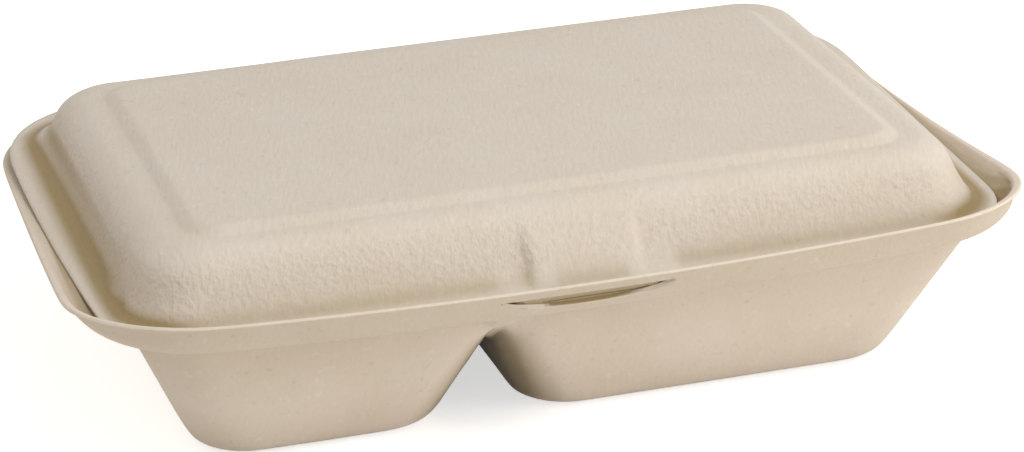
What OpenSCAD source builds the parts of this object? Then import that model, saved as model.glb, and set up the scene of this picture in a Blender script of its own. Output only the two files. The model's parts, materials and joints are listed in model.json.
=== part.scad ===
// Two-compartment hinged food container, moulded in one piece from bagasse pulp.
// The base tray and the lid are two nodes, because the lid turns on the fold along the back edge.
// X runs along the length, Y from the front lock to the back fold, and Z is up from the table.

/* [Overall] */
// length of the base over its lip, left to right
tray_l = 250; // [200:1:300]
// width of the base over its lip, front to back, without the front side's bow
tray_w = 170; // [140:1:210]
// thickness of the pulp
wall_t = 0.9; // [0.6:0.1:1.6]
// gap between the closed lid's flange edge and the base at the fold
fold_gap = 0.4; // [0.2:0.1:1]

/* [Rim] */
// height of the rim's middle line above the table
lip_z = 44.7; // [30:0.1:60]
// rise of the rim from its middle towards the front corners
lip_rise = 3.7; // [0:0.1:8]
// how much higher the rim's front and back lie than the middles of its ends
lip_swell = 3.6; // [0:0.1:6]
// sag of the front side at its middle
front_sag = 3.5; // [0:0.1:6]
// outward bow of the front side at its middle
front_bow = 2.7; // [0:0.1:6]
// how much longer the front of the rim is than its middle
lip_taper = 3; // [0:0.1:6]
// plan radius of the rim's front corners
lip_rf = 33.5; // [15:0.5:45]
// plan radius of the rim's back corners
lip_rb = 31.5; // [15:0.5:45]
// height of the ledge under the lid's flange, at the front corners
ledge_z = 41; // [25:0.1:55]
// how much higher the ledge lies at the back
ledge_up = 1.4; // [0:0.1:5]

/* [Pockets] */
// x of the divider's middle, left of the container's middle
divider_x = -20.7; // [-40:0.1:0]
// plan distance from the rim to a pocket's end wall at the ledge
end_in = 12.8; // [8:0.1:20]
// plan distance from the rim to a pocket's front or back wall at the ledge
side_in = 9; // [6:0.1:16]
// draft of the left pocket's end wall over its height
draft_left = 17.5; // [5:0.1:25]
// draft of the right pocket's end wall over its height
draft_right = 19.6; // [5:0.1:25]
// draft of the front and back walls over their height
draft_side = 17.2; // [5:0.1:25]
// draft of the two walls of the divider over their height
draft_div = 18.3; // [5:0.1:25]
// how far each divider wall runs past the divider's middle at the ledge
div_overlap = 7.4; // [2:0.1:12]
// how far the rim's outside runs down over the gap between the pockets
notch_drop = 3.6; // [0:0.1:8]
// half width of the divider's rounded underside
ridge_w = 1.2; // [0.5:0.1:4]
// plan radius of the pockets' corners
pocket_r = 15.5; // [8:0.5:25]
// radius between walls and bottom
bottom_r = 8; // [4:0.5:14]

/* [Lock] */
// x of the middle of the slit
lock_x = -1.6; // [-10:0.1:10]
// length of the slit in the front side
slit_l = 43.5; // [30:0.5:60]
// height of the slit at its middle
slit_h = 3.3; // [1:0.1:5]
// height of the slit at its ends
slit_end_h = 0.5; // [0.3:0.1:1]
// x of the middle of the lid's locking pad and tongue
tab_x = 2; // [-10:0.1:10]
// width of the lid's locking pad and tongue
tab_w = 28.6; // [20:0.1:45]
// how far the locking pad stands out at its foot
pad_out = 2.6; // [1:0.1:4]
// how far the tongue reaches past the lid's flange
tongue_out = 1.8; // [0.5:0.1:4]

/* [Lid] */
// plan distance from the rim to the lid's flange edge at the ends and front
flange_in = 5; // [3:0.1:10]
// height of the flange's top at the front
flange_zf = 43.5; // [35:0.1:55]
// height of the flange's top at the back
flange_zb = 46.7; // [35:0.1:60]
// plan radius of the flange's front corners
flange_rf = 23.5; // [10:0.5:40]
// plan radius of the flange's back corners
flange_rb = 35; // [10:0.5:50]
// how much longer the back of the flange is than its middle
flange_taper = 1.5; // [0:0.1:4]
// plan distance from the rim to the foot of the lid's wall
dome_in = 13.6; // [10:0.1:20]
// plan distance from the rim to the top of the lid's wall, before its round
dome_top_in = 19.7; // [14:0.1:28]
// plan radius of the dome's corners at its foot
dome_r = 16; // [8:0.5:25]
// round between the flange and the foot of the dome's wall
foot_r = 4.2; // [1:0.1:5]
// round between the dome's wall and its top
shoulder_r = 5.5; // [2:0.5:10]
// height of the dome's top
dome_z = 60.7; // [50:0.1:80]
// height of the raised panel above the dome's top
panel_h = 1.8; // [0.5:0.1:4]
// length of the raised panel at the middle of its bevel
panel_l = 187; // [120:1:220]
// width of the raised panel at the middle of its bevel
panel_w = 111; // [80:1:140]
// plan radius of the panel's corners
panel_r = 8.2; // [3:0.5:20]
// plan width of the panel's bevel
bevel_w = 4; // [1:0.5:8]
// shift of the panel towards the front
panel_y = -1.1; // [-5:0.1:5]

/* [Hidden] */
A = tray_l / 2;
B = tray_w / 2;
TH = wall_t * 1.1;
TAN = draft_div / ledge_z;
NC = 7;
NA = 4;
// the back edge lies a little past half the width, where the fold is
fold_y = B + 1;
// the modules move everything by this, so that the container is centred on its footprint
shift_y = (B + front_bow - fold_y) / 2;

// Small helpers.

function mix(a, b, t) = a + (b - a) * t;
function clip(v, lo, hi) = max(lo, min(hi, v));
function rev(v) = [for (i = [len(v) - 1:-1:0]) v[i]];
// inner points between two values, at fractions i / n
function between(a, b, n) = [for (i = [1:n - 1]) mix(a, b, i / n)];
// arc points from angle s to e with n steps, both ends included
function arc(cx, cy, r, s, e, n) =
    [for (i = [0:n]) [cx + r * cos(mix(s, e, i / n)), cy + r * sin(mix(s, e, i / n))]];

// the front side bows out and the ends taper towards the back
function bowed(p, ha, taper) =
    [p[0] * (1 - taper * p[1] / (B * A)),
     p[1] - (p[1] < 0 ? front_bow * max(0, 1 - pow(p[0] / ha, 2)) * clip(-p[1] / B * 2 - 1, 0, 1) : 0)];
function sag(x, y) = y < 0 ? front_sag * max(0, 1 - pow(x / A, 2)) * clip(-y / B * 2 - 1, 0, 1) : 0;
function rim_z(x, y) = lip_z - lip_rise * y / B + lip_swell * (pow(y / B, 2) - 0.5) - sag(x, y);
function shelf_z(x, y) = ledge_z + ledge_up * (y / B + 1) / 2 - sag(x, y);

// Rings round the base's rim.

// x of the front and back points, shared by every rim ring, so that the slit's ends and the divider line up
FX_ARC_R = [for (i = [0:NA]) divider_x + 5.2 + 1.5 * i];
SLIT_X0 = lock_x - slit_l / 2;
SLIT_X1 = lock_x + slit_l / 2;
FX_R = concat([for (i = [1:7]) mix(FX_ARC_R[NA], SLIT_X1, sin(90 * i / 8))],
              [SLIT_X1, SLIT_X1 + 3.5]);
FX_ARC_L = [for (i = [0:NA]) mix(divider_x - 10.3, SLIT_X0, i / NA)];
FX_STRIP = between(SLIT_X0, FX_ARC_R[0], 4);
BX_ARC_R = [for (i = [0:NA]) divider_x + 9.7 - 1.6 * i];
BX_STRIP = [for (i = [-1:1]) divider_x - 1.65 * i];
BX_ARC_L = [for (i = [0:NA]) divider_x - 3.5 - 1.7 * i];

function rim_ring(ie, jf, jb, rf, rb, taper) =
    let (ha = A - ie, yf = -(B - jf), yb = fold_y - jb, sf = ha - rf, sb = ha - rb)
    [for (p = concat(
        [for (x = FX_ARC_R) [x, yf]],
        [for (x = FX_R) [x, yf]],
        [for (x = between(FX_R[8], sf, 4)) [x, yf]],
        arc(sf, yf + rf, rf, -90, 0, NC),
        [for (y = between(yf + rf, yb - rb, 8)) [ha, y]],
        arc(sb, yb - rb, rb, 0, 90, NC),
        [for (x = between(sb, BX_ARC_R[0], 7)) [x, yb]],
        [for (x = BX_ARC_R) [x, yb]],
        [for (x = BX_STRIP) [x, yb]],
        [for (x = BX_ARC_L) [x, yb]],
        [for (x = between(BX_ARC_L[NA], -sb, 5)) [x, yb]],
        arc(-sb, yb - rb, rb, 90, 180, NC),
        [for (y = between(yb - rb, yf + rf, 8)) [-ha, y]],
        arc(-sf, yf + rf, rf, 180, 270, NC),
        [for (x = between(-sf, FX_ARC_L[0], 6)) [x, yf]],
        [for (x = FX_ARC_L) [x, yf]],
        [for (x = FX_STRIP) [x, yf]])) bowed(p, ha, taper)];

// Rings round one pocket, in u (distance from the divider's middle) and y.

function wall_in(z, total, z0) =
    let (t = total / ledge_z, c = 1 / sqrt(1 + t * t), s = t * c, zt = z0 + bottom_r * (1 - s))
    z >= zt ? t * max(0, ledge_z - z)
            : t * (ledge_z - z0 - bottom_r) + bottom_r / c
              - bottom_r * sqrt(max(0, 1 - pow((z0 + bottom_r - z) / bottom_r, 2)));
// angle on a corner's arc where the divider's wall reaches the ridge at height z
function ridge_angle(z, w, th, r) = acos(clip(1 - (w + div_overlap - th - TAN * (ledge_z - z)) / r, 0.05, 1));
// height at which the divider's wall reaches the ridge, for an angle on the corner's arc
function ridge_z(a, w, th, r) = ledge_z - (w + div_overlap - th - r * (1 - cos(a))) / TAN;

// q gives the height of each point, from 0 at the wall's bottom to 1 at its top, and is negative in the round
function lev(q, top, z0) = q < 0 ? z0 + bottom_r * (1 - cos(-q)) : mix(z0 + bottom_r * (1 - cos(62)), top, q);

// a point of a pocket: k says where, v is its place there
// k: 0 near front arc, 1 front, 2 far front arc, 3 far end, 4 far back arc, 5 back, 6 near back arc, 7 divider
function pocket_xy(k, v, z, far, te, th, r0, z0) =
    let (r = r0 - 0.5 * max(0, bottom_r * 0.5 - (z - z0)),
         un = -div_overlap + th + wall_in(z, draft_div, z0),
         uf = far - th - wall_in(z, te, z0),
         yf = -(B - side_in - th - wall_in(z, draft_side, z0)),
         yb = B - side_in - th - wall_in(z, draft_side, z0),
         bow = front_bow * clip((z - z0) / (ledge_z - z0), 0, 1))
    k == 0 ? [un + r - r * cos(v), yf + r - r * sin(v) - bow * 0.95] :
    k == 1 ? let (f = v < 0 ? -v : clip((v + div_overlap - r0) / (far + div_overlap - 2 * r0), 0.001, 0.999),
                  u = mix(un + r, uf - r, f))
             [u, yf - bow * max(0, 1 - pow(u / (far + 20), 2))] :
    k == 2 ? [uf - r + r * sin(v), yf + r - r * cos(v) - bow * 0.25 * cos(v)] :
    k == 3 ? [uf, mix(yf + r, yb - r, v)] :
    k == 4 ? [uf - r + r * cos(v), yb - r + r * sin(v)] :
    k == 5 ? [mix(uf - r, un + r, v), yb] :
    k == 6 ? [un + r - r * cos(v), yb - r + r * sin(v)] :
             [un, mix(yf + r, yb - r, v)];

// height at which a place meets the ridge, for the places on the divider's side of a pocket
function ridge_top(k, a, w, th, r) = (k == 0 || k == 6 || k == 7) ? ridge_z(k == 7 ? 0 : a, w, th, r) : 999;

// the list of places round a pocket, from the front notch over the far end to the back notch
function outer_places(af, front) = concat(
    [for (i = [0:NA]) [0, mix(af, 90, i / NA)]],
    front,
    [for (i = [0:NC]) [2, 90 * i / NC]],
    [for (i = [1:7]) [3, i / 8]],
    [for (i = [0:NC]) [4, 90 * i / NC]]);
function back_places(ab, nb) = concat(
    [for (i = [1:nb]) [5, i / (nb + 1)]],
    [for (i = [0:NA]) [6, mix(90, ab, i / NA)]]);
// the places along the divider, from the front notch to the back notch, without the notch points
function divider_places(af, ab) = concat(
    [for (i = [1:4]) [0, af * (1 - i / 4)]],
    [for (i = [1:5]) [7, i / 6]],
    [for (i = [0:3]) [6, ab * i / 4]]);

function sx(side, u) = divider_x + side * u;

// one surface of the tray, o = 0 outside and o = 1 inside: every list of points it needs
function th_of(o) = o * TH;
function w_of(o) = ridge_w + o * TH;
function r_of(o) = pocket_r - o * 0.6;
function z0_of(o) = o * wall_t;
// angles on the pockets' corners where the front and back notches start
function notch_at(o, y) =
    ridge_angle(shelf_z(divider_x, y) + o * wall_t - notch_drop, w_of(o), th_of(o), r_of(o));
function notch_f(o) = notch_at(o, -B);
function notch_b(o) = notch_at(o, B);

function places(side, o) = concat(
    outer_places(notch_f(o),
        side > 0 ? concat([for (x = FX_R) [1, x - divider_x]], [for (i = [1:3]) [1, -mix(0.38, 1, i / 4)]])
                 : [for (i = [1:5]) [1, -i / 6]]),
    back_places(notch_b(o), side > 0 ? 6 : 4));

function far_of(side) = side > 0 ? A - end_in - divider_x : A - end_in + divider_x;
function te_of(side) = side > 0 ? draft_right : draft_left;

// a pocket's point at wall level q, as [x, y, z]
function pocket_pt(side, o, pl, q) =
    let (r = r_of(o), th = th_of(o), z0 = z0_of(o), w = w_of(o),
         guess = pocket_xy(pl[0], pl[1], ledge_z, far_of(side), te_of(side), th, r, z0),
         na = pl[0] == 0 ? notch_f(o) : pl[0] == 6 ? notch_b(o) : 999,
         drop = pl[1] > na - 0.01 ? notch_drop * (90 - pl[1]) / (90 - na) : 0,
         shelf = shelf_z(sx(side, guess[0]), guess[1]) + o * wall_t - drop,
         top = min(shelf, ridge_top(pl[0], pl[1], w, th, r)),
         z = lev(q, top, z0),
         p = pocket_xy(pl[0], pl[1], z, far_of(side), te_of(side), th, r, z0),
         out = (drop > 0 && q > 0.9 ? (q > 0.99 ? 1 : 0.5) : 0) * r * (1 - sin(pl[1])))
    [sx(side, p[0]), p[1] + (pl[0] == 0 ? -out : out), z];

QS = [1, 0.93, 0.8, 0.6, 0.35, 0.12, -52, -39, -26, -13, -0.001];

// three points between two, raised by a bump in the middle
function strip_mid(a, b, bump) = [for (i = [1:3]) mix(a, b, i / 4) + [0, 0, bump * (1 - pow(i / 2 - 1, 2))]];

// the ring on the ledge: right pocket, back strip, left pocket, front strip
function top_ring(o) =
    let (R = [for (p = places(1, o)) pocket_pt(1, o, p, 1)],
         L = [for (p = rev(places(-1, o))) pocket_pt(-1, o, p, 1)])
    concat(R, strip_mid(R[len(R) - 1], L[0], 0), L, strip_mid(L[len(L) - 1], R[0], 0));

// profile of the rim from its edge to the ledge: part of the inset and part of the drop
RIM = [[0.07, 0.06], [0.16, 0.3], [0.28, 0.66], [0.46, 0.9], [0.75, 0.98]];
// place of the slit's upper edge on that profile, from the lip down
SLIT_TOP = [0.12, 0.24];
function rim_pts(f, o) =
    let (e = pow(f[0], 0.6) * clip(f[0] / 0.3, 0, 1),
         g = rim_ring(f[0] * end_in + o * TH * 0.8, f[0] * side_in + o * TH, f[0] * side_in + o * TH,
                      mix(lip_rf, pocket_r + 3, e), mix(lip_rb, pocket_r + 3, e),
                      lip_taper * (1 - f[0])))
    [for (p = g)
        [p[0], p[1], mix(rim_z(p[0], p[1]), shelf_z(p[0], p[1]), f[1]) + o * wall_t * mix(0.8, 1, f[0])]];
function lip_edge(dz, di) =
    let (g = rim_ring(di, di, di, lip_rf, lip_rb, lip_taper))
    [for (p = g) [p[0], p[1], rim_z(p[0], p[1]) + dz]];

// height of the slit along the front, and the ring of its lower edge
function slit_drop(x) = abs(x - lock_x) < slit_l / 2 + 0.01
    ? slit_end_h + (slit_h - slit_end_h) * sqrt(max(0, 1 - pow(2 * (x - lock_x) / slit_l, 2))) : slit_end_h;
function slit_ring(o) =
    let (g0 = rim_pts(SLIT_TOP, o), g2 = rim_pts(RIM[2], o))
    [for (i = [0:len(g0) - 1])
        let (d = abs(g0[i][0]) < A / 2 && g0[i][1] < 0 ? slit_drop(g0[i][0]) : slit_end_h,
             h = max(0.1, g0[i][2] - g2[i][2]))
        mix(g0[i], g2[i], clip(d / h, 0.04, 0.9))];

N_RIM = len(top_ring(0));
N_R = len(places(1, 0));
N_L = len(places(-1, 0));
N_D = len(divider_places(50, 50));

// the rings of one surface, from the rim inwards to the ledge
function rim_set(o) = [rim_pts(RIM[0], o), rim_pts(SLIT_TOP, o), slit_ring(o), rim_pts(RIM[2], o),
                       rim_pts(RIM[3], o), rim_pts(RIM[4], o), top_ring(o)];
function pocket_set(side, o) =
    let (pls = concat(places(side, o), rev(divider_places(notch_f(o), notch_b(o)))))
    [for (q = QS) [for (p = pls) pocket_pt(side, o, p, q)]];
function ridge_set(o) =
    let (dp = divider_places(notch_f(o), notch_b(o)), n = len(dp), b0 = w_of(o) * 0.62)
    [for (j = [0:n - 1])
        let (a = pocket_pt(-1, o, dp[j], 1), b = pocket_pt(1, o, dp[j], 1))
        strip_mid(a, b, b0 * clip(min(j + 1, n - j) / 3, 0, 1))];

function flat(v) = [for (a = v) for (b = a) b];

// Faces of a surface: rings, pocket walls, ridge strip and bottoms, all counted from a base index.

function quad(a, b, c, d, up) = up ? [[a, b, c], [a, c, d]] : [[c, b, a], [d, c, a]];
// the rim points at the slit's left and right ends
SL0 = N_RIM - 4;
SL1 = NA + 8;
function in_slit(i) = i >= SL0 || i < SL1;

function ring_faces(base, rings, up, skip) = flat([for (k = [0:rings - 2]) for (i = [0:N_RIM - 1])
    if (!(k == skip && in_slit(i)))
        let (j = (i + 1) % N_RIM, a = base + k * N_RIM)
        quad(a + i, a + N_RIM + i, a + N_RIM + j, a + j, up)]);

// the number of a pocket's ring point: its top ring is the rim's last ring and the ridge's sides
RS = 7;
NP = len(QS) - 1;
function surf_pts(o) = concat(
    flat(rim_set(o)),
    let (s = pocket_set(1, o)) flat([for (k = [0:NP]) s[k]]),
    let (s = pocket_set(-1, o)) flat([for (k = [0:NP]) s[k]]),
    flat(ridge_set(o)));
NR_ALL = RS * N_RIM;
P_R = N_R + N_D;
P_L = N_L + N_D;
N_SURF = NR_ALL + P_R * (NP + 1) + P_L * (NP + 1) + N_D * 3;

// index of point i on ring k of a pocket
function idx(side, k, i) =
    let (n = side > 0 ? P_R : P_L, no = side > 0 ? N_R : N_L, m = (i + n) % n)
    (k == 0 && m < no)
        ? (RS - 1) * N_RIM + (side > 0 ? m : N_R + 3 + (N_L - 1 - m))
        : NR_ALL + (side > 0 ? 0 : P_R * (NP + 1)) + k * n + m;

function pocket_faces(base, side, up) =
    let (n = side > 0 ? P_R : P_L)
    flat([for (k = [0:NP - 1]) for (i = [0:n - 1])
        quad(base + idx(side, k, i), base + idx(side, k + 1, i), base + idx(side, k + 1, i + 1),
             base + idx(side, k, i + 1), side > 0 ? up : !up)]);
function bottom_face(base, side, up) =
    let (n = side > 0 ? P_R : P_L, f = [for (i = [0:n - 1]) base + idx(side, NP, i)])
    [(side > 0 ? up : !up) ? rev(f) : f];

// rows of the ridge strip from the front notch to the back notch, each from the left pocket to the right one
function ridge_row(j) =
    j == 0 ? concat([for (i = [-1:2]) (RS - 1) * N_RIM + N_R + 3 + N_L + i], [(RS - 1) * N_RIM]) :
    j == N_D + 1 ? concat([(RS - 1) * N_RIM + N_R + 3], [for (i = [2:-1:0]) (RS - 1) * N_RIM + N_R + i],
                          [(RS - 1) * N_RIM + N_R - 1]) :
    let (m = N_D - j)
    concat([idx(-1, 0, N_L + m)], [for (i = [0:2]) NR_ALL + (P_R + P_L) * (NP + 1) + (j - 1) * 3 + i],
           [idx(1, 0, N_R + m)]);
function ridge_faces(base, up) = flat([for (j = [0:N_D])
    let (a = ridge_row(j), b = ridge_row(j + 1))
    for (i = [0:3]) quad(base + a[i], base + b[i], base + b[i + 1], base + a[i + 1], up)]);

function surf_faces(base, up) = concat(
    ring_faces(base, RS, up, 1),
    pocket_faces(base, 1, up), pocket_faces(base, -1, up),
    bottom_face(base, 1, up), bottom_face(base, -1, up),
    ridge_faces(base, up));

module base_tray() {
    pts = concat(surf_pts(0), surf_pts(1), lip_edge(-0.2, 0), lip_edge(wall_t * 0.6, 0.3));
    e = 2 * N_SURF;
    low = 2 * N_RIM;
    faces = concat(
        surf_faces(0, true),
        surf_faces(N_SURF, false),
        flat([for (i = [0:N_RIM - 1]) let (j = (i + 1) % N_RIM) concat(
            quad(e + i, i, j, e + j, true),
            quad(e + N_RIM + i, e + i, e + j, e + N_RIM + j, true),
            quad(N_SURF + i, e + N_RIM + i, e + N_RIM + j, N_SURF + j, true))]),
        // the slit's four sides
        flat([for (i = [0:N_RIM - 1]) if (in_slit(i)) let (j = (i + 1) % N_RIM) concat(
            quad(N_RIM + i, N_SURF + N_RIM + i, N_SURF + N_RIM + j, N_RIM + j, true),
            quad(low + i, low + j, N_SURF + low + j, N_SURF + low + i, true))]),
        quad(N_RIM + SL0, low + SL0, N_SURF + low + SL0, N_SURF + N_RIM + SL0, true),
        quad(N_RIM + SL1, N_SURF + N_RIM + SL1, N_SURF + low + SL1, low + SL1, true));
    color([0.82, 0.75, 0.64]) translate([0, shift_y, 0])
        polyhedron(points = pts, faces = [for (f = faces) rev(f)], convexity = 8);
}

// The lid: rings from the flange's edge over the dome to the panel.

// distances from the tab's middle across its flank, from the pad's face to the plain wall
LX = [for (d = [-1.7, -0.6, 0.6, 1.7, 6]) tab_w / 2 + d];
function lid_xs(s) = concat(
    [for (i = [1:4]) mix(-s, tab_x - LX[4], i / 5)],
    [for (i = [4:-1:0]) tab_x - LX[i]],
    [for (i = [-1:1]) tab_x + i * LX[0] / 2],
    [for (i = [0:4]) tab_x + LX[i]],
    [for (i = [1:4]) mix(tab_x + LX[4], s, i / 5)]);
NL = 7;
function lid_ring(ha, yf, yb, r, taper, bow, rb = 0) =
    let (q = rb > 0 ? rb : r)
    [for (p = concat(
        [for (x = lid_xs(ha - r)) [x, yf]],
        arc(ha - r, yf + r, r, -90, 0, NL),
        [for (y = between(yf + r, yb - q, 8)) [ha, y]],
        arc(ha - q, yb - q, q, 0, 90, NL),
        [for (x = between(ha - q, -(ha - q), 14)) [x, yb]],
        arc(-(ha - q), yb - q, q, 90, 180, NL),
        [for (y = between(yb - q, yf + r, 8)) [-ha, y]],
        arc(-(ha - r), yf + r, r, 180, 270, NL)))
        [p[0] * (1 + taper * p[1] / (B * A)),
         p[1] - (p[1] < 0 ? bow * max(0, 1 - pow(p[0] / ha, 2)) * clip(-p[1] / B * 2 - 1, 0, 1) : 0)]];
function flange_z(y) = mix(flange_zf, flange_zb, clip((y / B + 1) / 2, 0, 1.02));
// part of the pad's stand-out at a place across the front
function pad_mask(x) = let (t = clip((LX[3] - abs(x - tab_x)) / (LX[3] - LX[0]), 0, 1)) t * t * (3 - 2 * t);
function lid_in(t) = mix(dome_in, dome_top_in, t);
// profile of the panel's bevel: part of its half width, outwards, and part of its height
BEVEL = [[1.05, 0], [0.7, 0.08], [0, 0.5], [-0.8, 0.92], [-1.3, 1]];

// d is the plan distance from the rim, h the height part between flange and dome top, o the surface
function lid_row(d, r, z, k, o, bow) =
    let (g = lid_ring(A - d - o * TH, -(B - d - o * TH), B - d - o * TH, max(2, r - o * 0.5), 0, bow))
    [for (p = g) let (m = p[1] < 0 ? pad_mask(p[0]) * k : 0) [p[0], p[1] - m * pad_out, z]];

function lid_rows(o) =
    let (dz = -o * wall_t, zt = dome_z + dz, zm = mix(flange_zf, flange_zb, 0.5),
         fl = lid_ring(A - flange_in, -(B - flange_in), fold_y - fold_gap, flange_rf, flange_taper, front_bow,
                       flange_rb),
         edge = [for (p = fl) let (m = p[1] < 0 ? pad_mask(p[0]) : 0)
                 [p[0], p[1] - m * tongue_out, flange_z(p[1]) + dz + 0.4 * m]],
         foot = dome_in - foot_r * 1.1,
         lip = lid_ring(A - foot, -(B - foot), B - foot, dome_r + 3, 0, front_bow * 0.9))
    concat(
        [edge],
        [[for (p = lip) let (m = p[1] < 0 ? pad_mask(p[0]) : 0)
            [p[0], p[1] - m * min(pad_out, foot - flange_in + tongue_out - 1.5), flange_z(p[1]) + dz]]],
        [let (g = lid_row(dome_in - foot_r * 0.5, dome_r + 1, 0, 1, o, front_bow * 0.85))
            [for (p = g) [p[0], p[1], flange_z(p[1]) + dz + foot_r * 0.14]]],
        [let (g = lid_row(dome_in - foot_r * 0.08, dome_r, 0, 0.95, o, front_bow * 0.8))
            [for (p = g) [p[0], p[1], flange_z(p[1]) + dz + foot_r * 0.5]]],
        [lid_row(lid_in(0.34), dome_r - 1, mix(zm, zt, 0.34), 0.6, o, front_bow * 0.5)],
        [lid_row(lid_in(0.54), dome_r - 1.5, mix(zm, zt, 0.54), 0.38, o, front_bow * 0.25)],
        [for (i = [0:4]) let (a = i * 22.5, zz = zt - shoulder_r * (1 - sin(a)))
            lid_row(lid_in((zz - zm) / (zt - zm)) + shoulder_r * (1 - cos(a)),
                    max(4, dome_r - 2 - shoulder_r * 0.6 * (1 - cos(a))), zz,
                    max(0, 0.22 - 0.12 * i), o, 0)],
        [for (f = BEVEL) let (e = f[0] * bevel_w / 2 - o * 0.3 * wall_t)
            [for (p = lid_ring(panel_l / 2 + e, -(panel_w / 2 + e) + panel_y, panel_w / 2 + e + panel_y,
                               panel_r + e * 0.6, 0, 0)) [p[0], p[1], zt + panel_h * f[1]]]]);

module lid() {
    up = lid_rows(0);
    dn = lid_rows(1);
    n = len(up[0]);
    k = len(up);
    // the caps start on a corner, so that none of their triangles is flat
    cap0 = len(lid_xs(1)) + 3;
    faces = concat(
        flat([for (r = [0:k - 2]) for (i = [0:n - 1]) let (j = (i + 1) % n) concat(
            quad(r * n + i, r * n + n + i, r * n + n + j, r * n + j, false),
            quad((k + r) * n + i, (k + r) * n + n + i, (k + r) * n + n + j, (k + r) * n + j, true))]),
        flat([for (i = [0:n - 1]) let (j = (i + 1) % n) quad(i, k * n + i, k * n + j, j, true)]),
        [[for (i = [0:n - 1]) (k - 1) * n + (i + cap0) % n]],
        [[for (i = [0:n - 1]) (2 * k - 1) * n + (n - 1 - i + cap0) % n]]);
    color([0.85, 0.79, 0.69]) translate([0, shift_y, 0])
        polyhedron(points = concat(flat(up), flat(dn)), faces = [for (f = faces) rev(f)], convexity = 8);
}

base_tray();
lid();
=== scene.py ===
"""Dresses the hinged food container: moulded pulp tray, lid and living hinge, on a pale studio floor."""

import json
import math

import bmesh
import bpy
import numpy as np
from bpy.props import FloatProperty, FloatVectorProperty, IntProperty, PointerProperty, StringProperty
from mathutils import Matrix, Vector
from mathutils.kdtree import KDTree

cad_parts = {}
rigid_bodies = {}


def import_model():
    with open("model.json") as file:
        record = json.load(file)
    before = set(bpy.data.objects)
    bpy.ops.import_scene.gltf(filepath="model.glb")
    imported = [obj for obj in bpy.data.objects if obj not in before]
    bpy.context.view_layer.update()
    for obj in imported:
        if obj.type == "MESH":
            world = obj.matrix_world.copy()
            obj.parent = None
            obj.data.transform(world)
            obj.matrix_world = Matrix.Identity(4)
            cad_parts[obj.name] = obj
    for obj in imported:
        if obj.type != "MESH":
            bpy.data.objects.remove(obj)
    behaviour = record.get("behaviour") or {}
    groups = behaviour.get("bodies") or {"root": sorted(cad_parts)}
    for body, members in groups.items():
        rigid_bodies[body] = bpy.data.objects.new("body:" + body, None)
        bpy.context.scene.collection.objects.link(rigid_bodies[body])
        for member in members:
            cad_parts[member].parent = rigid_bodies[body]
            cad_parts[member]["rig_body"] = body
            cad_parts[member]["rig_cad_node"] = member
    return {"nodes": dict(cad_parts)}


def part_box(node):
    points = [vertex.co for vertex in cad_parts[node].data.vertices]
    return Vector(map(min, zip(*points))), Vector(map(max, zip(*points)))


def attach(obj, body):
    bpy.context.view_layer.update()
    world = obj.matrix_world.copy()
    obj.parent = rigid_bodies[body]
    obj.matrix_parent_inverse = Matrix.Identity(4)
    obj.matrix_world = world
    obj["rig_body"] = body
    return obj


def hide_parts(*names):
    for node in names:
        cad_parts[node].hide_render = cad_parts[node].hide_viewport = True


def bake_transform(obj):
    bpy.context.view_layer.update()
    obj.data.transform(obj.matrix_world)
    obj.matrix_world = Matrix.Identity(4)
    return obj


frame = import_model()

bl_info = {
    "name": "Pulp Food Container",
    "version": (1, 0, 0),
    "blender": (4, 5, 0),
    "location": "View3D > Sidebar > Container",
    "description": "Finishes the packed tray and lid of a moulded pulp food container",
    "category": "Object",
}

MM = 0.001
TRAY_LOW, TRAY_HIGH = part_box("base_tray")
LID_LOW, LID_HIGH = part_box("lid")
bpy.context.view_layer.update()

SHELL_WALL = 0.9 * MM
FOLD_LOW = 43.0 * MM
FOLD_HIGH = 46.3 * MM
FOLD_TUCK = 0.5 * MM
FOLD_STEPS = 10
FOLD_COLUMNS = 60

# Rebuilding the frame's mesh: what counts as a flat floor, and how faces are joined and creased.
FLAT_NORMAL = 0.9999
FLAT_TOLERANCE = 0.01 * MM
FLOOR_BORDER = 2.5 * MM
QUAD_ANGLE = math.radians(60)
CREASE_LIMIT = 0.8

# Marks for end walls and for painted shade in concave places, on steep walls and at the ends. Each flank
# of the pad has its X and the share of painted shade taken off.
END_WALL_FROM = 0.45
END_WALL_FULL = 0.85
BEND_LOWEST = -0.2
BEND_HIGHEST = 1.2
BEND_SPREADS = 10
BEVEL_FROM = 4 * MM
BEVEL_FULL = 7 * MM
PAD_FLANKS = ((19 * MM, 0.9), (-14 * MM, 0.5))
PAD_FLANK_REACH = 8 * MM
PAD_BACK = -60 * MM
LID_END_FROM = 95 * MM
LID_END_FULL = 105 * MM
PAINTED_SHADE_GAIN = 1.6
LID_END_GAIN = 3.6
STEEP_SHADE = 0.07

# The flange's edge with its painted shadow, the painted brown shade inside the tray's lip, and the slit
# in its front wall.
EDGE_NORMAL = 0.2
EDGE_HEIGHT = 5 * MM
# The painted shade inside the lip is stronger on the right half than on the left.
LIP_SHADE_RIGHT = 0.9
LIP_SHADE_LEFT = 0.3
SLIT_BACK = 9 * MM
SLIT_HALF = 25 * MM
SLIT_NEAR = 3 * MM
# Only this share of the painted shadow is kept at the slit, which takes full painted brown shade instead.
SLIT_SHADOW_SHARE = 0.25

# Painted brown shade on the outside of the pockets below the rim, and less painted shade on the rim's
# outer face.
UNDER_RIM_SHADE = 0.27
UNDER_RIM_FROM = 14 * MM
UNDER_RIM_FULL = 38 * MM
UPWARD_NORMAL = 0.3
RIM_OUTWARDS = 0.2
RIM_FROM = 40 * MM
RIM_SHADE_KEPT = 0.25

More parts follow.
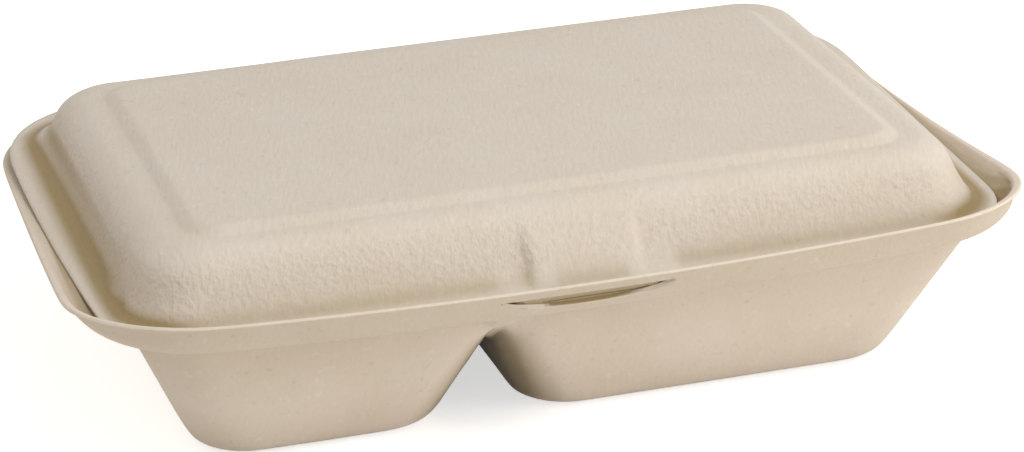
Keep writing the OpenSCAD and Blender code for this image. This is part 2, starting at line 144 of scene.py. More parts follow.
# Painted shadow and painted brown shade on the two walls that face each other over the gap between the
# pockets.
GAP_REACH = 30 * MM
GAP_CLOSE = 20 * MM
GAP_UPWARD = 0.05
GAP_DEPTH_LOW = 0.55
GAP_DEPTH_RISE = 60 * MM
GAP_SHADOW_LEVEL = 0.95
GAP_SHADE_LEVEL = 0.75

# The lid's flange on the tray's ledge, the painted brown shade on its end walls, and its tongue with its
# painted shade.
FLANGE_FROM = 7 * MM
FLANGE_FULL = 1 * MM
FLANGE_MIDDLE = 8 * MM
FLANGE_HALF = 62 * MM
END_SHADE = 0.22
END_BROWN_TOP = 59 * MM
END_BROWN_FULL = 46 * MM
TONGUE_HEIGHT = 2 * MM
TONGUE_EDGE_FROM = 4.7 * MM
TONGUE_EDGE_FULL = 2.2 * MM
TONGUE_REACH = 2.6 * MM
TONGUE_SHADE = 0.8

SENSOR_WIDTH = 36
CLIP_START = 0.05
FLOOR_LIFT = 0.62
FLOOR_COLOUR = (0.94, 0.94, 0.94, 1)


class ShellSizes(bpy.types.PropertyGroup):
    """How the two moulded shells and the fold between them are finished."""
    smoothing: IntProperty(
        name="Smoothing", description="Subdivision level of the moulded shells",
        default=2, min=0, max=2)
    merge: FloatProperty(
        name="Merge Distance", description="Distance within which the frame's points are joined",
        default=0.01 * MM, unit="LENGTH")
    smooth_angle: FloatProperty(
        name="Smooth Angle", description="Edges sharper than this keep a hard shade",
        default=math.radians(50), subtype="ANGLE")
    crease_from: FloatProperty(
        name="Crease From", description="Folds of the frame's mesh start to stay crisp at this angle",
        default=math.radians(38), subtype="ANGLE")
    crease_full: FloatProperty(
        name="Crease Full", description="Folds of the frame's mesh stay fully crisp at this angle",
        default=math.radians(80), subtype="ANGLE")
    tongue_width: FloatProperty(
        name="Tongue Width", description="Width of the lid's tongue in the slit",
        default=38 * MM, unit="LENGTH")
    tongue_middle: FloatProperty(
        name="Tongue Middle", description="X of the middle of the tongue",
        default=-0.6 * MM, unit="LENGTH")
    tongue_sag: FloatProperty(
        name="Tongue Sag", description="How far the soft tongue bends down inside the slit",
        default=1.2 * MM, unit="LENGTH")
    # The browner band round the dome's foot is painted shade; this width scales the painted shade in all
    # concave places.
    foot_band: FloatProperty(
        name="Foot Band", description="Width of the browner band round the foot of the lid's dome",
        default=7 * MM, unit="LENGTH")
    # The dark line beside the flange's edge is painted shadow.
    painted_shadow_reach: FloatProperty(
        name="Seam Reach", description="Width of the dark line beside the flange's edge",
        default=1.0 * MM, unit="LENGTH")
    # The browner band inside the tray's lip is painted shade.
    lip_shade: FloatProperty(
        name="Lip Shade", description="Width of the browner band inside the tray's lip",
        default=6.5 * MM, unit="LENGTH")
    side_reach: FloatProperty(
        name="Side Reach", description="How far the lid's flange bulges out at the middle of its ends",
        default=1.0 * MM, unit="LENGTH")
    side_sag: FloatProperty(
        name="Side Sag", description="How far the lid's flange sags there on to the tray's ledge",
        default=1.3 * MM, unit="LENGTH")
    gap_middle: FloatProperty(
        name="Gap Middle", description="X of the gap between the two pockets",
        default=-20.7 * MM, unit="LENGTH")
    fold_length: FloatProperty(
        name="Fold Length", description="Length of the living hinge along the back edge",
        default=178 * MM, unit="LENGTH")
    fold_wall: FloatProperty(
        name="Fold Wall", description="Thickness of the pressed pulp in the fold",
        default=0.7 * MM, unit="LENGTH")
    fold_bulge: FloatProperty(
        name="Fold Bulge", description="How far the closed fold stands out behind the rim",
        default=0.9 * MM, unit="LENGTH")


class PulpLooks(bpy.types.PropertyGroup):
    """Colours of the pulp and of its painted shade and shadow, and the real sizes of its grain."""
    # The lid and tray are one pulp: their two colours differ only as painted light, the tray's lighter
    # than the lid's.
    lid_colour: StringProperty(
        name="Lid Colour", description="Colour of the lid's dry pulp, as a hex value",
        default="DACFC1")
    tray_colour: StringProperty(
        name="Tray Colour", description="Colour of the tray's dry pulp, as a hex value",
        default="E6D8C7")
    # The brown of the painted shade.
    painted_shade_colour: StringProperty(
        name="Hollow Colour", description="Colour of the denser, browner pulp in hollows",
        default="9C8557")
    # The near-black of the painted shadow.
    painted_shadow_colour: StringProperty(
        name="Seam Colour", description="Colour of the pulp deep in seams and gaps",
        default="2F220E")
    warm_colour: StringProperty(
        name="Warm Colour", description="Colour of the clouds where more pith lies in the pulp",
        default="D0C0A4")
    grain_pitch: FloatProperty(
        name="Grain Pitch", description="Distance between the ribs that the forming screen leaves",
        default=1.25 * MM, unit="LENGTH")
    grain_stretch: FloatProperty(
        name="Grain Stretch", description="How many times longer than wide a rib of the grain is",
        default=4.0)
    screen_turn: FloatProperty(
        name="Screen Turn", description="Turn of the forming screen's ribs away from the short side",
        default=math.radians(-16), subtype="ANGLE")
    fibre_width: FloatProperty(
        name="Fibre Width", description="Width of a loose bagasse fibre, drawn wide enough to show",
        default=0.35 * MM, unit="LENGTH")
    cloud_size: FloatProperty(
        name="Cloud Size", description="Size of the cloudy patches in the pulp",
        default=22 * MM, unit="LENGTH")
    speck_size: FloatProperty(
        name="Speck Size", description="Spacing of the pale fibre ends and dark specks of pith",
        default=2.2 * MM, unit="LENGTH")


class StageSizes(bpy.types.PropertyGroup):
    """The camera at the photograph's angle, the floor and the lights."""
    azimuth: FloatProperty(
        name="Azimuth", description="How far the camera looks to the right of the depth axis",
        default=math.radians(16.34), subtype="ANGLE")
    elevation: FloatProperty(
        name="Elevation", description="How far the camera looks down",
        default=math.radians(22.72), subtype="ANGLE")
    roll: FloatProperty(
        name="Roll", description="Turn of the camera about its view axis",
        default=math.radians(1.61), subtype="ANGLE")
    distance: FloatProperty(
        name="Distance", description="Distance from the camera to its aim",
        default=974.35 * MM, unit="LENGTH")
    aim: FloatVectorProperty(
        name="Aim", description="Point that the view axis passes through",
        default=(0.97 * MM, 0.85 * MM, 23.7 * MM), subtype="TRANSLATION")
    lens: FloatProperty(name="Lens", description="Focal length in millimetres", default=127.03)
    shift: FloatVectorProperty(
        name="Shift", description="Camera shift, as a share of the image's width", size=2,
        default=(0.0130, 0.0152))
    floor_size: FloatProperty(
        name="Floor Size", description="Side of the square floor", default=6.0, unit="LENGTH")
    sky_strength: FloatProperty(
        name="Sky Strength", description="Level of the even light from all round", default=0.43)
    key_power: FloatProperty(
        name="Key Power", description="Power of the soft box at the front right",
        default=3.0, unit="POWER")
    key_place: FloatVectorProperty(
        name="Key Place", description="Place of the soft box at the front right",
        default=(0.80, -0.60, 0.21), subtype="TRANSLATION")
    top_power: FloatProperty(
        name="Top Power", description="Power of the soft box overhead", default=5.8, unit="POWER")
    top_place: FloatVectorProperty(
        name="Top Place", description="Place of the soft box overhead",
        default=(0.36, -0.37, 1.02), subtype="TRANSLATION")
    fill_power: FloatProperty(
        name="Fill Power", description="Power of the weak soft box at the left",
        default=1.1, unit="POWER")
    fill_place: FloatVectorProperty(
        name="Fill Place", description="Place of the weak soft box at the left",
        default=(-0.90, -0.20, 0.50), subtype="TRANSLATION")
    key_size: FloatProperty(
        name="Key Size", description="Side of the square soft box at the front right",
        default=0.4, unit="LENGTH")
    top_size: FloatProperty(
        name="Top Size", description="Side of the square soft box overhead",
        default=0.7, unit="LENGTH")


def deselect():
    """Leave edit mode and select nothing."""
    if bpy.context.object and bpy.context.object.mode != "OBJECT":
        bpy.ops.object.mode_set(mode="OBJECT")
    bpy.ops.object.select_all(action="DESELECT")


def activate(obj):
    """Make one object the only selected and active one."""
    deselect()
    obj.select_set(True)
    bpy.context.view_layer.objects.active = obj


def linear(code):
    """Linear colour from an sRGB hex value."""
    values = [int(code[i:i + 2], 16) / 255 for i in (0, 2, 4)]
    return [v / 12.92 if v <= 0.04045 else ((v + 0.055) / 1.055) ** 2.4 for v in values] + [1.0]


def add_node(tree, kind, settings=None, links=None):
    """Add a node with its settings and the links into its sockets."""
    node = tree.nodes.new(kind)
    for name, value in (settings or {}).items():
        if isinstance(name, int) or name in node.inputs:
            node.inputs[name].default_value = value
        else:
            setattr(node, name, value)
    for name, source in (links or {}).items():
        tree.links.new(source, node.inputs[name])
    return node


def pulp_material(name, colour, relief, wall_relief):
    """Moulded bagasse pulp: a dry, matt, fibrous sheet that keeps the print of its forming screen, with
    painted brown shade and painted shadow mixed into its colour.
    """
    looks = bpy.context.scene.pulp_looks
    material = bpy.data.materials.new(name)
    material.use_nodes = True
    tree = material.node_tree
    tree.nodes.clear()
    coords = add_node(tree, "ShaderNodeTexCoord")
    fine = looks.grain_pitch
    coarse = fine * looks.grain_stretch

    def grain(size, detail, turn=0.0):
        """Noise on object coordinates with its own size on each axis, turned about the upright."""
        mapping = add_node(tree, "ShaderNodeMapping", {"vector_type": "TEXTURE", "Scale": size,
                                                       "Rotation": (0, 0, turn)},
                           {"Vector": coords.outputs["Object"]})
        return add_node(tree, "ShaderNodeTexNoise", {"Scale": 1.0, "Detail": detail, "Roughness": 0.55},
                        {"Vector": mapping.outputs["Vector"]}).outputs["Fac"]

    # The screen's ribs run from front to back on the flats, and break into grains on the walls.
    long_sides = grain((fine, coarse, fine * 1.25), 1.0, looks.screen_turn)
    end_walls = grain((coarse, fine, fine * 1.25), 1.0)
    side = add_node(tree, "ShaderNodeAttribute", {"attribute_name": "end_wall"})
    ribs = add_node(tree, "ShaderNodeMix", {"data_type": "FLOAT"}, {
        "Factor": side.outputs["Fac"], "A": long_sides, "B": end_walls})
    fuzz = grain((looks.fibre_width,) * 3, 3.0)
    clouds = grain((looks.cloud_size,) * 3, 3.0)
    rib_level = add_node(tree, "ShaderNodeMapRange", {"From Min": 0.3, "From Max": 0.7},
                         {"Value": ribs.outputs["Result"]})
    specks = grain((looks.speck_size,) * 3, 1.0)
    pale_ends = add_node(tree, "ShaderNodeMapRange",
                         {"From Min": 0.64, "From Max": 0.74, "To Max": 0.05}, {"Value": specks})
    dark_pith = add_node(tree, "ShaderNodeMapRange",
                         {"From Min": 0.33, "From Max": 0.24, "To Max": -0.07}, {"Value": specks})
    steep = add_node(tree, "ShaderNodeAttribute", {"attribute_name": "steep"})
    print_depth = add_node(tree, "ShaderNodeMapRange", {"To Min": relief, "To Max": wall_relief},
                           {"Value": steep.outputs["Fac"]})
    cloud_level = add_node(tree, "ShaderNodeMapRange",
                           {"From Min": 0.38, "From Max": 0.68, "To Max": 0.22}, {"Value": clouds})
    base = add_node(tree, "ShaderNodeMix", {"data_type": "RGBA"},
                    {"Factor": cloud_level.outputs["Result"]})
    base.inputs["A"].default_value = linear(colour)
    base.inputs["B"].default_value = linear(looks.warm_colour)
    # Painted brown shade, mixed into the colour where the shell's points are marked for it.
    painted_shade = add_node(tree, "ShaderNodeAttribute", {"attribute_name": "painted_shade"})
    painted_shade_mix = add_node(tree, "ShaderNodeMix", {"data_type": "RGBA"}, {"Factor": painted_shade.outputs["Fac"]})
    painted_shade_mix.inputs["B"].default_value = linear(looks.painted_shade_colour)
    tree.links.new(base.outputs["Result"], painted_shade_mix.inputs["A"])
    # Painted shadow, mixed in near black where the shell's points are marked for it.
    painted_shadow = add_node(tree, "ShaderNodeAttribute", {"attribute_name": "painted_shadow"})
    painted_shadowed = add_node(tree, "ShaderNodeMix", {"data_type": "RGBA"}, {"Factor": painted_shadow.outputs["Fac"]})
    painted_shadowed.inputs["B"].default_value = linear(looks.painted_shadow_colour)
    tree.links.new(painted_shade_mix.outputs["Result"], painted_shadowed.inputs["A"])
    rib_shade = add_node(tree, "ShaderNodeMath", {"operation": "MULTIPLY_ADD", 2: -0.5}, {
        0: rib_level.outputs["Result"], 1: print_depth.outputs["Result"]})
    rib_tone = add_node(tree, "ShaderNodeMath", {"operation": "MULTIPLY_ADD", 1: 0.045, 2: 1.01}, {
        0: rib_shade.outputs["Value"]})
    speckled = add_node(tree, "ShaderNodeMath", {"operation": "ADD"}, {
        0: rib_tone.outputs["Value"], 1: pale_ends.outputs["Result"]})
    shade = add_node(tree, "ShaderNodeMath", {"operation": "ADD"}, {
        0: speckled.outputs["Value"], 1: dark_pith.outputs["Result"]})
    tinted = add_node(tree, "ShaderNodeVectorMath", {"operation": "SCALE"}, {
        0: painted_shadowed.outputs["Result"], "Scale": shade.outputs["Value"]})
    height = add_node(tree, "ShaderNodeMath", {"operation": "MULTIPLY_ADD", 1: 0.35}, {
        0: fuzz, 2: rib_level.outputs["Result"]})
    pressed = add_node(tree, "ShaderNodeMath", {"operation": "MULTIPLY"}, {
        0: height.outputs["Value"], 1: print_depth.outputs["Result"]})
    bump = add_node(tree, "ShaderNodeBump", {"Strength": 1.0, "Distance": 0.12 * MM},
                    {"Height": pressed.outputs["Value"]})
    shader = add_node(tree, "ShaderNodeBsdfPrincipled",
                      {"Roughness": 0.92, "Specular IOR Level": 0.25,
                       "Sheen Weight": 0.12, "Sheen Roughness": 0.6},
                      {"Base Color": tinted.outputs["Vector"], "Normal": bump.outputs["Normal"]})
    add_node(tree, "ShaderNodeOutputMaterial", links={"Surface": shader.outputs["BSDF"]})
    return material


def copy_of_node(node, name):
    """A new piece with its own merged copy of a frame node's mesh."""
    sizes = bpy.context.scene.shell_sizes
    activate(frame["nodes"][node])
    bpy.ops.object.duplicate(linked=False)
    piece = bpy.context.object
    piece.name = name
    piece.data.name = name
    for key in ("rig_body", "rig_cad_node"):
        if key in piece:
            del piece[key]
    piece.parent = None
    activate(piece)
    bpy.ops.object.mode_set(mode="EDIT")
    bpy.ops.mesh.select_all(action="SELECT")
    bpy.ops.mesh.remove_doubles(threshold=sizes.merge)
    bpy.ops.object.mode_set(mode="OBJECT")
    return piece


def select_faces(piece, test):
    """Select only the faces that pass a test, in edit mode."""
    bpy.ops.object.mode_set(mode="EDIT")
    bpy.ops.mesh.select_mode(type="FACE")
    bpy.ops.mesh.select_all(action="DESELECT")
    mesh = bmesh.from_edit_mesh(piece.data)
    for face in mesh.faces:
        face.select_set(bool(test(face)))
    bmesh.update_edit_mesh(piece.data)


def ramp(value, start, full):
    """Share of the way from start to full that a value has come, from 0 to 1."""
    return min(1.0, max(0.0, (value - start) / (full - start)))


def ramps(values, start, full):
    """The same share for each value of an array."""
    return np.clip((values - start) / (full - start), 0, 1)


def smooth_shell(piece, flat_heights):
    """Turn the merged triangles into quads, clear the flat floors and round the whole shell."""
    sizes = bpy.context.scene.shell_sizes
    select_faces(piece, lambda face: abs(face.normal.z) > FLAT_NORMAL and any(
        abs(face.verts[0].co.z - height) < FLAT_TOLERANCE for height in flat_heights))
    bpy.ops.mesh.dissolve_faces()
    bpy.ops.mesh.inset(thickness=FLOOR_BORDER, use_even_offset=True, use_individual=True)
    select_faces(piece, lambda face: len(face.verts) == 3)
    bpy.ops.mesh.tris_convert_to_quads(face_threshold=QUAD_ANGLE, shape_threshold=QUAD_ANGLE)
    bpy.ops.object.mode_set(mode="OBJECT")
    crease_folds(piece)
    rounder = piece.modifiers.new("rounder", "SUBSURF")
    rounder.levels = sizes.smoothing
    rounder.render_levels = sizes.smoothing
    activate(piece)
    bpy.ops.object.modifier_apply(modifier="rounder")
    bpy.ops.object.shade_smooth_by_angle(angle=sizes.smooth_angle)
    mark_surface(piece)


def crease_folds(piece):
    """Give each fold of the mesh a crease that grows with its angle, so that rounding keeps its form."""
    sizes = bpy.context.scene.shell_sizes
    bpy.ops.object.mode_set(mode="EDIT")
    mesh = bmesh.from_edit_mesh(piece.data)
    crease = mesh.edges.layers.float.get("crease_edge") or mesh.edges.layers.float.new("crease_edge")
    for edge in mesh.edges:
        angle = edge.calc_face_angle(0)
        edge[crease] = CREASE_LIMIT * ramp(angle, sizes.crease_from, sizes.crease_full)
    bmesh.update_edit_mesh(piece.data)
    bpy.ops.object.mode_set(mode="OBJECT")


def mark_surface(piece):
    """Write point attributes: how much a point faces left or right, the painted shade of concave places
    and steep walls, and how steep it is.
    """
    mesh = piece.data
    count = len(mesh.vertices)
    places = np.empty(count * 3)
    normals = np.empty(count * 3)
    mesh.vertices.foreach_get("co", places)
    mesh.vertices.foreach_get("normal", normals)
    places = places.reshape(-1, 3)
    normals = normals.reshape(-1, 3)
    facing = ramps(np.abs(normals[:, 0]), END_WALL_FROM, END_WALL_FULL)
    marks = {"end_wall": facing * facing * (3 - 2 * facing), "painted_shade": painted_shade_of(mesh, places, normals),
             "steep": 1 - np.abs(normals[:, 2])}
    for name, values in marks.items():
        attribute = mesh.attributes.new(name, "FLOAT", "POINT")
        attribute.data.foreach_set("value", values.astype(np.float32))


def painted_shade_of(mesh, places, normals):
    """Painted shade for each point, from 0 to 1: stronger where the surface is concave and at the ends,
    spread a few millimetres along the surface, with a little on steep walls.
    """
    edges = np.empty(len(mesh.edges) * 2, dtype=np.int64)
    mesh.edges.foreach_get("vertices", edges)
    edges = edges.reshape(-1, 2)
    both = np.concatenate([edges, edges[:, ::-1]])
    step = places[both[:, 1]] - places[both[:, 0]]
    rise = (step * normals[both[:, 0]]).sum(1) / np.maximum((step * step).sum(1), 1e-12)
    degree = np.maximum(np.bincount(both[:, 0], minlength=len(places)), 1)
    bend = np.bincount(both[:, 0], rise, minlength=len(places)) / degree
    bend = np.clip(bend * bpy.context.scene.shell_sizes.foot_band, BEND_LOWEST, BEND_HIGHEST)
    for _ in range(BEND_SPREADS):
        around = np.bincount(both[:, 0], bend[both[:, 1]], minlength=len(places)) / degree
        bend = 0.5 * bend + 0.5 * around
    # No painted shade on the raised panel's shallow bevel, and less on the pad's flanks, least on the
    # right flank.
    bend *= ramps(places[:, 2], LID_HIGH[2] - BEVEL_FROM, LID_HIGH[2] - BEVEL_FULL)
    for middle, taken in PAD_FLANKS:
        flank = ramps(np.abs(places[:, 0] - middle), PAD_FLANK_REACH, 0) * (places[:, 1] < PAD_BACK)
        bend *= 1 - np.clip(3 * flank, 0, taken)
    # The ends take more painted shade, and steep walls a little.
    at_ends = ramps(np.abs(places[:, 0]), LID_END_FROM, LID_END_FULL)
    steep = 1 - np.abs(normals[:, 2])
    painted_shade = np.clip(bend * (PAINTED_SHADE_GAIN + LID_END_GAIN * at_ends), 0, 1)
    return (1 - STEEP_SHADE) * painted_shade + STEEP_SHADE * steep


def flange_edge():
    """Places along the outer edge of the closed lid's flange, at most a millimetre apart."""
    mesh = frame["nodes"]["lid"].data
    places = []
    for face in mesh.polygons:
        if abs(face.normal.z) < EDGE_NORMAL and face.center.z < LID_LOW[2] + EDGE_HEIGHT:
            corners = [mesh.vertices[i].co for i in face.vertices]
            for a, b in zip(corners, corners[1:] + corners[:1]):
                parts = max(1, math.ceil((b - a).length / MM))
                places += [a.lerp(b, part / parts) for part in range(parts)]
    return places


def flange_shade(vertex, place, distance):
    """Painted shadow and painted brown shade where a point of the tray faces the nearest place on the
    flange's edge.
    """
    sizes = bpy.context.scene.shell_sizes
    towards = vertex.normal.dot(place - vertex.co) / max(distance, 0.1 * MM)
    seen = ramp(2 * towards, 0, 1)
    dark = seen * max(0.0, 1 - distance / sizes.painted_shadow_reach)
    # At the slit only a share of the painted shadow is kept, and the painted brown shade is full.
    if place.y < TRAY_LOW[1] + SLIT_BACK and abs(vertex.co.x) < SLIT_HALF and distance < SLIT_NEAR:
        return SLIT_SHADOW_SHARE * dark, seen
    # Painted brown shade inside the lip, stronger on the right half than on the left.
    strength = LIP_SHADE_RIGHT if vertex.co.x > 0 else LIP_SHADE_LEFT
    return dark, strength * seen * max(0.0, 1 - distance / sizes.lip_shade)


def gap_shade(vertex):
    """Painted shadow and painted brown shade where the pockets face each other over the gap between them.
    """
    aside = vertex.co.x - bpy.context.scene.shell_sizes.gap_middle
    facing = -math.copysign(1, aside) * vertex.normal.x
    if facing <= 0 or vertex.normal.z >= GAP_UPWARD:
        return 0.0, 0.0
    close = ramp(abs(aside), GAP_REACH, GAP_CLOSE)
    depth = close * min(1.0, GAP_DEPTH_LOW + vertex.co.z / GAP_DEPTH_RISE)
    dark = GAP_SHADOW_LEVEL * depth * ramp(facing, 0.42, 0.84) ** 1.3
    brown = GAP_SHADE_LEVEL * close * ramp(facing, 0.05, 0.65) ** 1.5
    return dark, brown


def mark_painted_shadow(piece):
    """Paint shade on the tray: painted shadow and brown shade beside the flange's edge and over the gap
    between the pockets, brown shade below the rim, less on the rim's outer face.
    """
    places = flange_edge()
    tree = KDTree(len(places))
    for number, place in enumerate(places):
        tree.insert(place, number)
    tree.balance()
    # The new attribute comes first, because adding it moves the data of the others.
    piece.data.attributes.new("painted_shadow", "FLOAT", "POINT")
    painted_shade = piece.data.attributes["painted_shade"].data
    painted_shadow = piece.data.attributes["painted_shadow"].data
    for vertex in piece.data.vertices:
        place, _, distance = tree.find(vertex.co)
        edge_shadow, edge_brown_shade = flange_shade(vertex, place, distance)
        gap_shadow, gap_brown_shade = gap_shade(vertex)
        # Painted brown shade on the pockets' outside below the rim.
        under_rim_shade = 0.0
        if vertex.normal.z < UPWARD_NORMAL:
            under_rim_shade = UNDER_RIM_SHADE * ramp(vertex.co.z, UNDER_RIM_FROM, UNDER_RIM_FULL)
        # The rim's outer face keeps only a share of its painted shade.
        outwards = (vertex.normal.x * vertex.co.x / TRAY_HIGH[0]
                    + vertex.normal.y * vertex.co.y / TRAY_HIGH[1])
        on_rim = outwards > RIM_OUTWARDS and vertex.co.z > RIM_FROM
        own = painted_shade[vertex.index].value * (RIM_SHADE_KEPT if on_rim else 1.0)
        painted_shade[vertex.index].value = max(own, edge_brown_shade, under_rim_shade, gap_brown_shade)
        painted_shadow[vertex.index].value = max(edge_shadow, gap_shadow)


def fit_flange(piece):
    """Lay the lid's soft flange on the tray's ledge along the middle of its two ends."""
    sizes = bpy.context.scene.shell_sizes
    for vertex in piece.data.vertices:
        place = vertex.co
        outer = ramp(abs(place.x), LID_HIGH[0] - FLANGE_FROM, LID_HIGH[0] - FLANGE_FULL)
        along = max(0.0, 1 - ((place.y - FLANGE_MIDDLE) / FLANGE_HALF) ** 2)
        place.x += math.copysign(sizes.side_reach * outer * along, place.x)
        place.z -= sizes.side_sag * outer * along


def shade_lid_ends(piece):
    """Paint brown shade on the lid's end walls, stronger towards their foot."""
    shaded = piece.data.attributes["painted_shade"].data
    side = piece.data.attributes["end_wall"].data
    for vertex in piece.data.vertices:
        low = ramp(vertex.co.z, END_BROWN_TOP, END_BROWN_FULL)
        brown = END_SHADE * side[vertex.index].value * low
        shaded[vertex.index].value = max(shaded[vertex.index].value, brown)


def bend_tongue(piece):
    """Bend the lid's soft tongue down inside the slit and give it painted brown shade."""
    sizes = bpy.context.scene.shell_sizes
    front = min(v.co.y for v in piece.data.vertices)
    shaded = piece.data.attributes["painted_shade"].data
    for vertex in piece.data.vertices:
        side = abs(vertex.co.x - sizes.tongue_middle) / (sizes.tongue_width / 2)
        if side >= 1 or vertex.co.z >= LID_LOW[2] + TONGUE_HEIGHT:
            continue
        wide = ramp(6 * (1 - side), 0, 1)
        edge = ramp(vertex.co.y, front + TONGUE_EDGE_FROM, front + TONGUE_EDGE_FULL)
        vertex.co.y += wide * edge * (front - vertex.co.y)
        share = ramp(vertex.co.y, front + TONGUE_REACH, front) * (1 - side ** 6)
        vertex.co.z -= sizes.tongue_sag * share
        # Painted brown shade on the tongue inside the slit.
        brown = min(TONGUE_SHADE, 2 * share)
        shaded[vertex.index].value = max(shaded[vertex.index].value, brown)


class CONTAINER_OT_tray_shell(bpy.types.Operator):
    """Model the moulded tray over its frame node"""
    bl_idname = "container.tray_shell"
    bl_label = "Tray Shell"

    def execute(self, context):
        looks = context.scene.pulp_looks
        piece = copy_of_node("base_tray", "tray_shell")
        floor = min(round(v.co.z, 6) for v in piece.data.vertices)
        smooth_shell(piece, [floor, floor + SHELL_WALL])
        mark_painted_shadow(piece)
        piece.data.materials.clear()
        pulp = pulp_material("tray_moulded_bagasse_pulp", looks.tray_colour, relief=0.4, wall_relief=0.35)
        piece.data.materials.append(pulp)
        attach(piece, "tray")
        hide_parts("base_tray")
        return {"FINISHED"}


class CONTAINER_OT_lid_shell(bpy.types.Operator):
    """Model the moulded lid over its frame node"""
    bl_idname = "container.lid_shell"
    bl_label = "Lid Shell"

    def execute(self, context):
        looks = context.scene.pulp_looks
        piece = copy_of_node("lid", "lid_shell")
        top = LID_HIGH[2]
        smooth_shell(piece, [top, top - SHELL_WALL])
        fit_flange(piece)
        shade_lid_ends(piece)
        bend_tongue(piece)
        piece.data.materials.clear()
        pulp = pulp_material("lid_moulded_bagasse_pulp", looks.lid_colour, relief=0.6, wall_relief=2.1)
        piece.data.materials.append(pulp)
        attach(piece, "lid")
        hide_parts("lid")
        return {"FINISHED"}


class CONTAINER_OT_fold(bpy.types.Operator):
    """Model the living hinge: the web of pressed pulp between the tray's back rim and the lid's flange"""
    bl_idname = "container.fold"
    bl_label = "Living Hinge"

    def execute(self, context):
        sizes = context.scene.shell_sizes
        looks = context.scene.pulp_looks
        rim_back = TRAY_HIGH[1]
        deselect()
        bpy.ops.mesh.primitive_grid_add(x_subdivisions=FOLD_COLUMNS, y_subdivisions=FOLD_STEPS, size=1)
        piece = bpy.context.object
        piece.name = "fold_web"
        piece.data.name = "fold_web"
        for vertex in piece.data.vertices:
            rise = vertex.co.y + 0.5
            x = vertex.co.x * sizes.fold_length
            y = rim_back - FOLD_TUCK + sizes.fold_bulge * math.sin(math.pi * rise)
            vertex.co = Vector((x, y, FOLD_LOW + (FOLD_HIGH - FOLD_LOW) * rise))
        wall = piece.modifiers.new("wall", "SOLIDIFY")
        wall.thickness = sizes.fold_wall
        wall.offset = 0
        activate(piece)
        bpy.ops.object.modifier_apply(modifier="wall")
        bpy.ops.object.shade_smooth_by_angle(angle=sizes.smooth_angle)
        mark_surface(piece)
        pulp = pulp_material("pressed_bagasse_fold", looks.tray_colour, relief=0.3, wall_relief=0.3)
        piece.data.materials.append(pulp)
        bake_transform(piece)
        return {"FINISHED"}


def floor_material():
    """Pale matt board: the camera sees it lifted to white where no shadow falls."""
    material = bpy.data.materials.new("pale_matt_board")
    material.use_nodes = True
    tree = material.node_tree
    tree.nodes.clear()
    path = add_node(tree, "ShaderNodeLightPath")
    seen = add_node(tree, "ShaderNodeMath", {"operation": "MAXIMUM"}, {
        0: path.outputs["Is Camera Ray"], 1: path.outputs["Is Glossy Ray"]})
    lift = add_node(tree, "ShaderNodeMath", {"operation": "MULTIPLY", 1: FLOOR_LIFT},
                    {0: seen.outputs["Value"]})
    board = add_node(tree, "ShaderNodeBsdfDiffuse", {"Color": FLOOR_COLOUR})
    glow = add_node(tree, "ShaderNodeEmission", {"Color": (1, 1, 1, 1)},
                    {"Strength": lift.outputs["Value"]})
    both = add_node(tree, "ShaderNodeAddShader",
                    links={0: board.outputs["BSDF"], 1: glow.outputs["Emission"]})
    add_node(tree, "ShaderNodeOutputMaterial", links={"Surface": both.outputs["Shader"]})
    return material


def studio_sky(strength):
    """Even light from all round, white where the camera or a reflection sees it."""
    world = bpy.data.worlds.new("studio_sky")
    world.use_nodes = True
    tree = world.node_tree
    tree.nodes.clear()
    path = add_node(tree, "ShaderNodeLightPath")
    seen = add_node(tree, "ShaderNodeMath", {"operation": "MAXIMUM"}, {
        0: path.outputs["Is Camera Ray"], 1: path.outputs["Is Glossy Ray"]})
    light = add_node(tree, "ShaderNodeBackground", {"Color": (1, 1, 1, 1), "Strength": strength})
    white = add_node(tree, "ShaderNodeBackground", {"Color": (1, 1, 1, 1), "Strength": 1.0})
    both = add_node(tree, "ShaderNodeMixShader", links={
        0: seen.outputs["Value"], 1: light.outputs["Background"], 2: white.outputs["Background"]})
    add_node(tree, "ShaderNodeOutputWorld", links={"Surface": both.outputs["Shader"]})
    bpy.context.scene.world = world


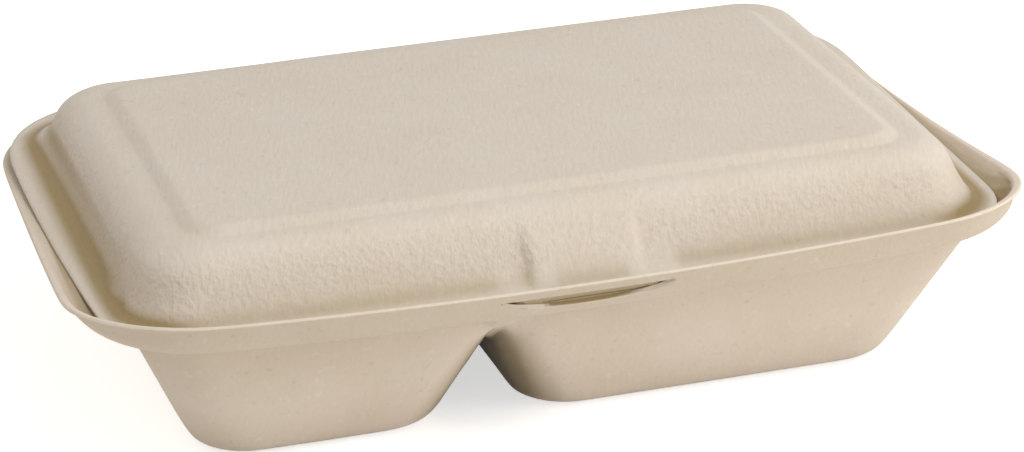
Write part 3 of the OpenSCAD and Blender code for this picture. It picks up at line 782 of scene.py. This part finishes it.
class CONTAINER_OT_stage(bpy.types.Operator):
    """Set up the floor, the sky, the soft light and the camera"""
    bl_idname = "container.stage"
    bl_label = "Stage"

    def execute(self, context):
        sizes = context.scene.stage_sizes
        deselect()
        bpy.ops.mesh.primitive_plane_add(size=sizes.floor_size, location=(0, 0, 0))
        floor = bpy.context.object
        floor.name = "studio_floor"
        floor.data.materials.append(floor_material())
        studio_sky(sizes.sky_strength)
        self.add_soft_box("soft_key", sizes.key_place, sizes.key_power, sizes.key_size, "FFFBF6")
        self.add_soft_box("soft_top", sizes.top_place, sizes.top_power, sizes.top_size, "FFFFFF")
        self.add_soft_box("soft_fill", sizes.fill_place, sizes.fill_power, sizes.top_size, "FFF0DC")
        self.add_camera(context, sizes)
        context.scene.view_settings.view_transform = "Standard"
        return {"FINISHED"}

    def add_soft_box(self, name, place, power, side, colour):
        """Hang a square soft box that faces the container."""
        bpy.ops.object.light_add(type="AREA", location=place)
        box = bpy.context.object
        box.name = name
        box.data.size = side
        box.data.energy = power
        box.data.color = linear(colour)[:3]
        box.rotation_euler = Vector(place).to_track_quat("Z", "Y").to_euler()

    def add_camera(self, context, sizes):
        """Place the camera by its angles and its distance from the aim."""
        look = Vector((math.sin(sizes.azimuth) * math.cos(sizes.elevation),
                       math.cos(sizes.azimuth) * math.cos(sizes.elevation),
                       -math.sin(sizes.elevation)))
        right = Vector((math.cos(sizes.azimuth), -math.sin(sizes.azimuth), 0))
        down = look.cross(right)
        turned_right = math.cos(sizes.roll) * right + math.sin(sizes.roll) * down
        turned_up = math.sin(sizes.roll) * right - math.cos(sizes.roll) * down
        bpy.ops.object.camera_add()
        camera = bpy.context.object
        camera.name = "photo_camera"
        turn = Matrix((turned_right, turned_up, -look)).transposed().to_4x4()
        camera.matrix_world = Matrix.Translation(Vector(sizes.aim) - look * sizes.distance) @ turn
        camera.data.sensor_width = SENSOR_WIDTH
        camera.data.lens = sizes.lens
        camera.data.shift_x = sizes.shift[0]
        camera.data.shift_y = sizes.shift[1]
        camera.data.clip_start = CLIP_START
        context.scene.camera = camera


class CONTAINER_PT_panel(bpy.types.Panel):
    """Lists the container's pieces in the sidebar"""
    bl_label = "Pulp Food Container"
    bl_idname = "CONTAINER_PT_panel"
    bl_space_type = "VIEW_3D"
    bl_region_type = "UI"
    bl_category = "Container"

    def draw(self, context):
        for step in STEPS:
            self.layout.operator(step.bl_idname)


STEPS = (CONTAINER_OT_tray_shell, CONTAINER_OT_lid_shell, CONTAINER_OT_fold, CONTAINER_OT_stage)
GROUPS = {"shell_sizes": ShellSizes, "pulp_looks": PulpLooks, "stage_sizes": StageSizes}


def register():
    for group in GROUPS.values():
        bpy.utils.register_class(group)
    for step in STEPS:
        bpy.utils.register_class(step)
    bpy.utils.register_class(CONTAINER_PT_panel)
    for name, group in GROUPS.items():
        setattr(bpy.types.Scene, name, PointerProperty(type=group))


def unregister():
    for name in GROUPS:
        delattr(bpy.types.Scene, name)
    bpy.utils.unregister_class(CONTAINER_PT_panel)
    for step in reversed(STEPS):
        bpy.utils.unregister_class(step)
    for group in GROUPS.values():
        bpy.utils.unregister_class(group)


def main():
    register()
    bpy.ops.container.tray_shell()
    bpy.ops.container.lid_shell()
    bpy.ops.container.fold()
    bpy.ops.container.stage()


if __name__ == "__main__":
    main()
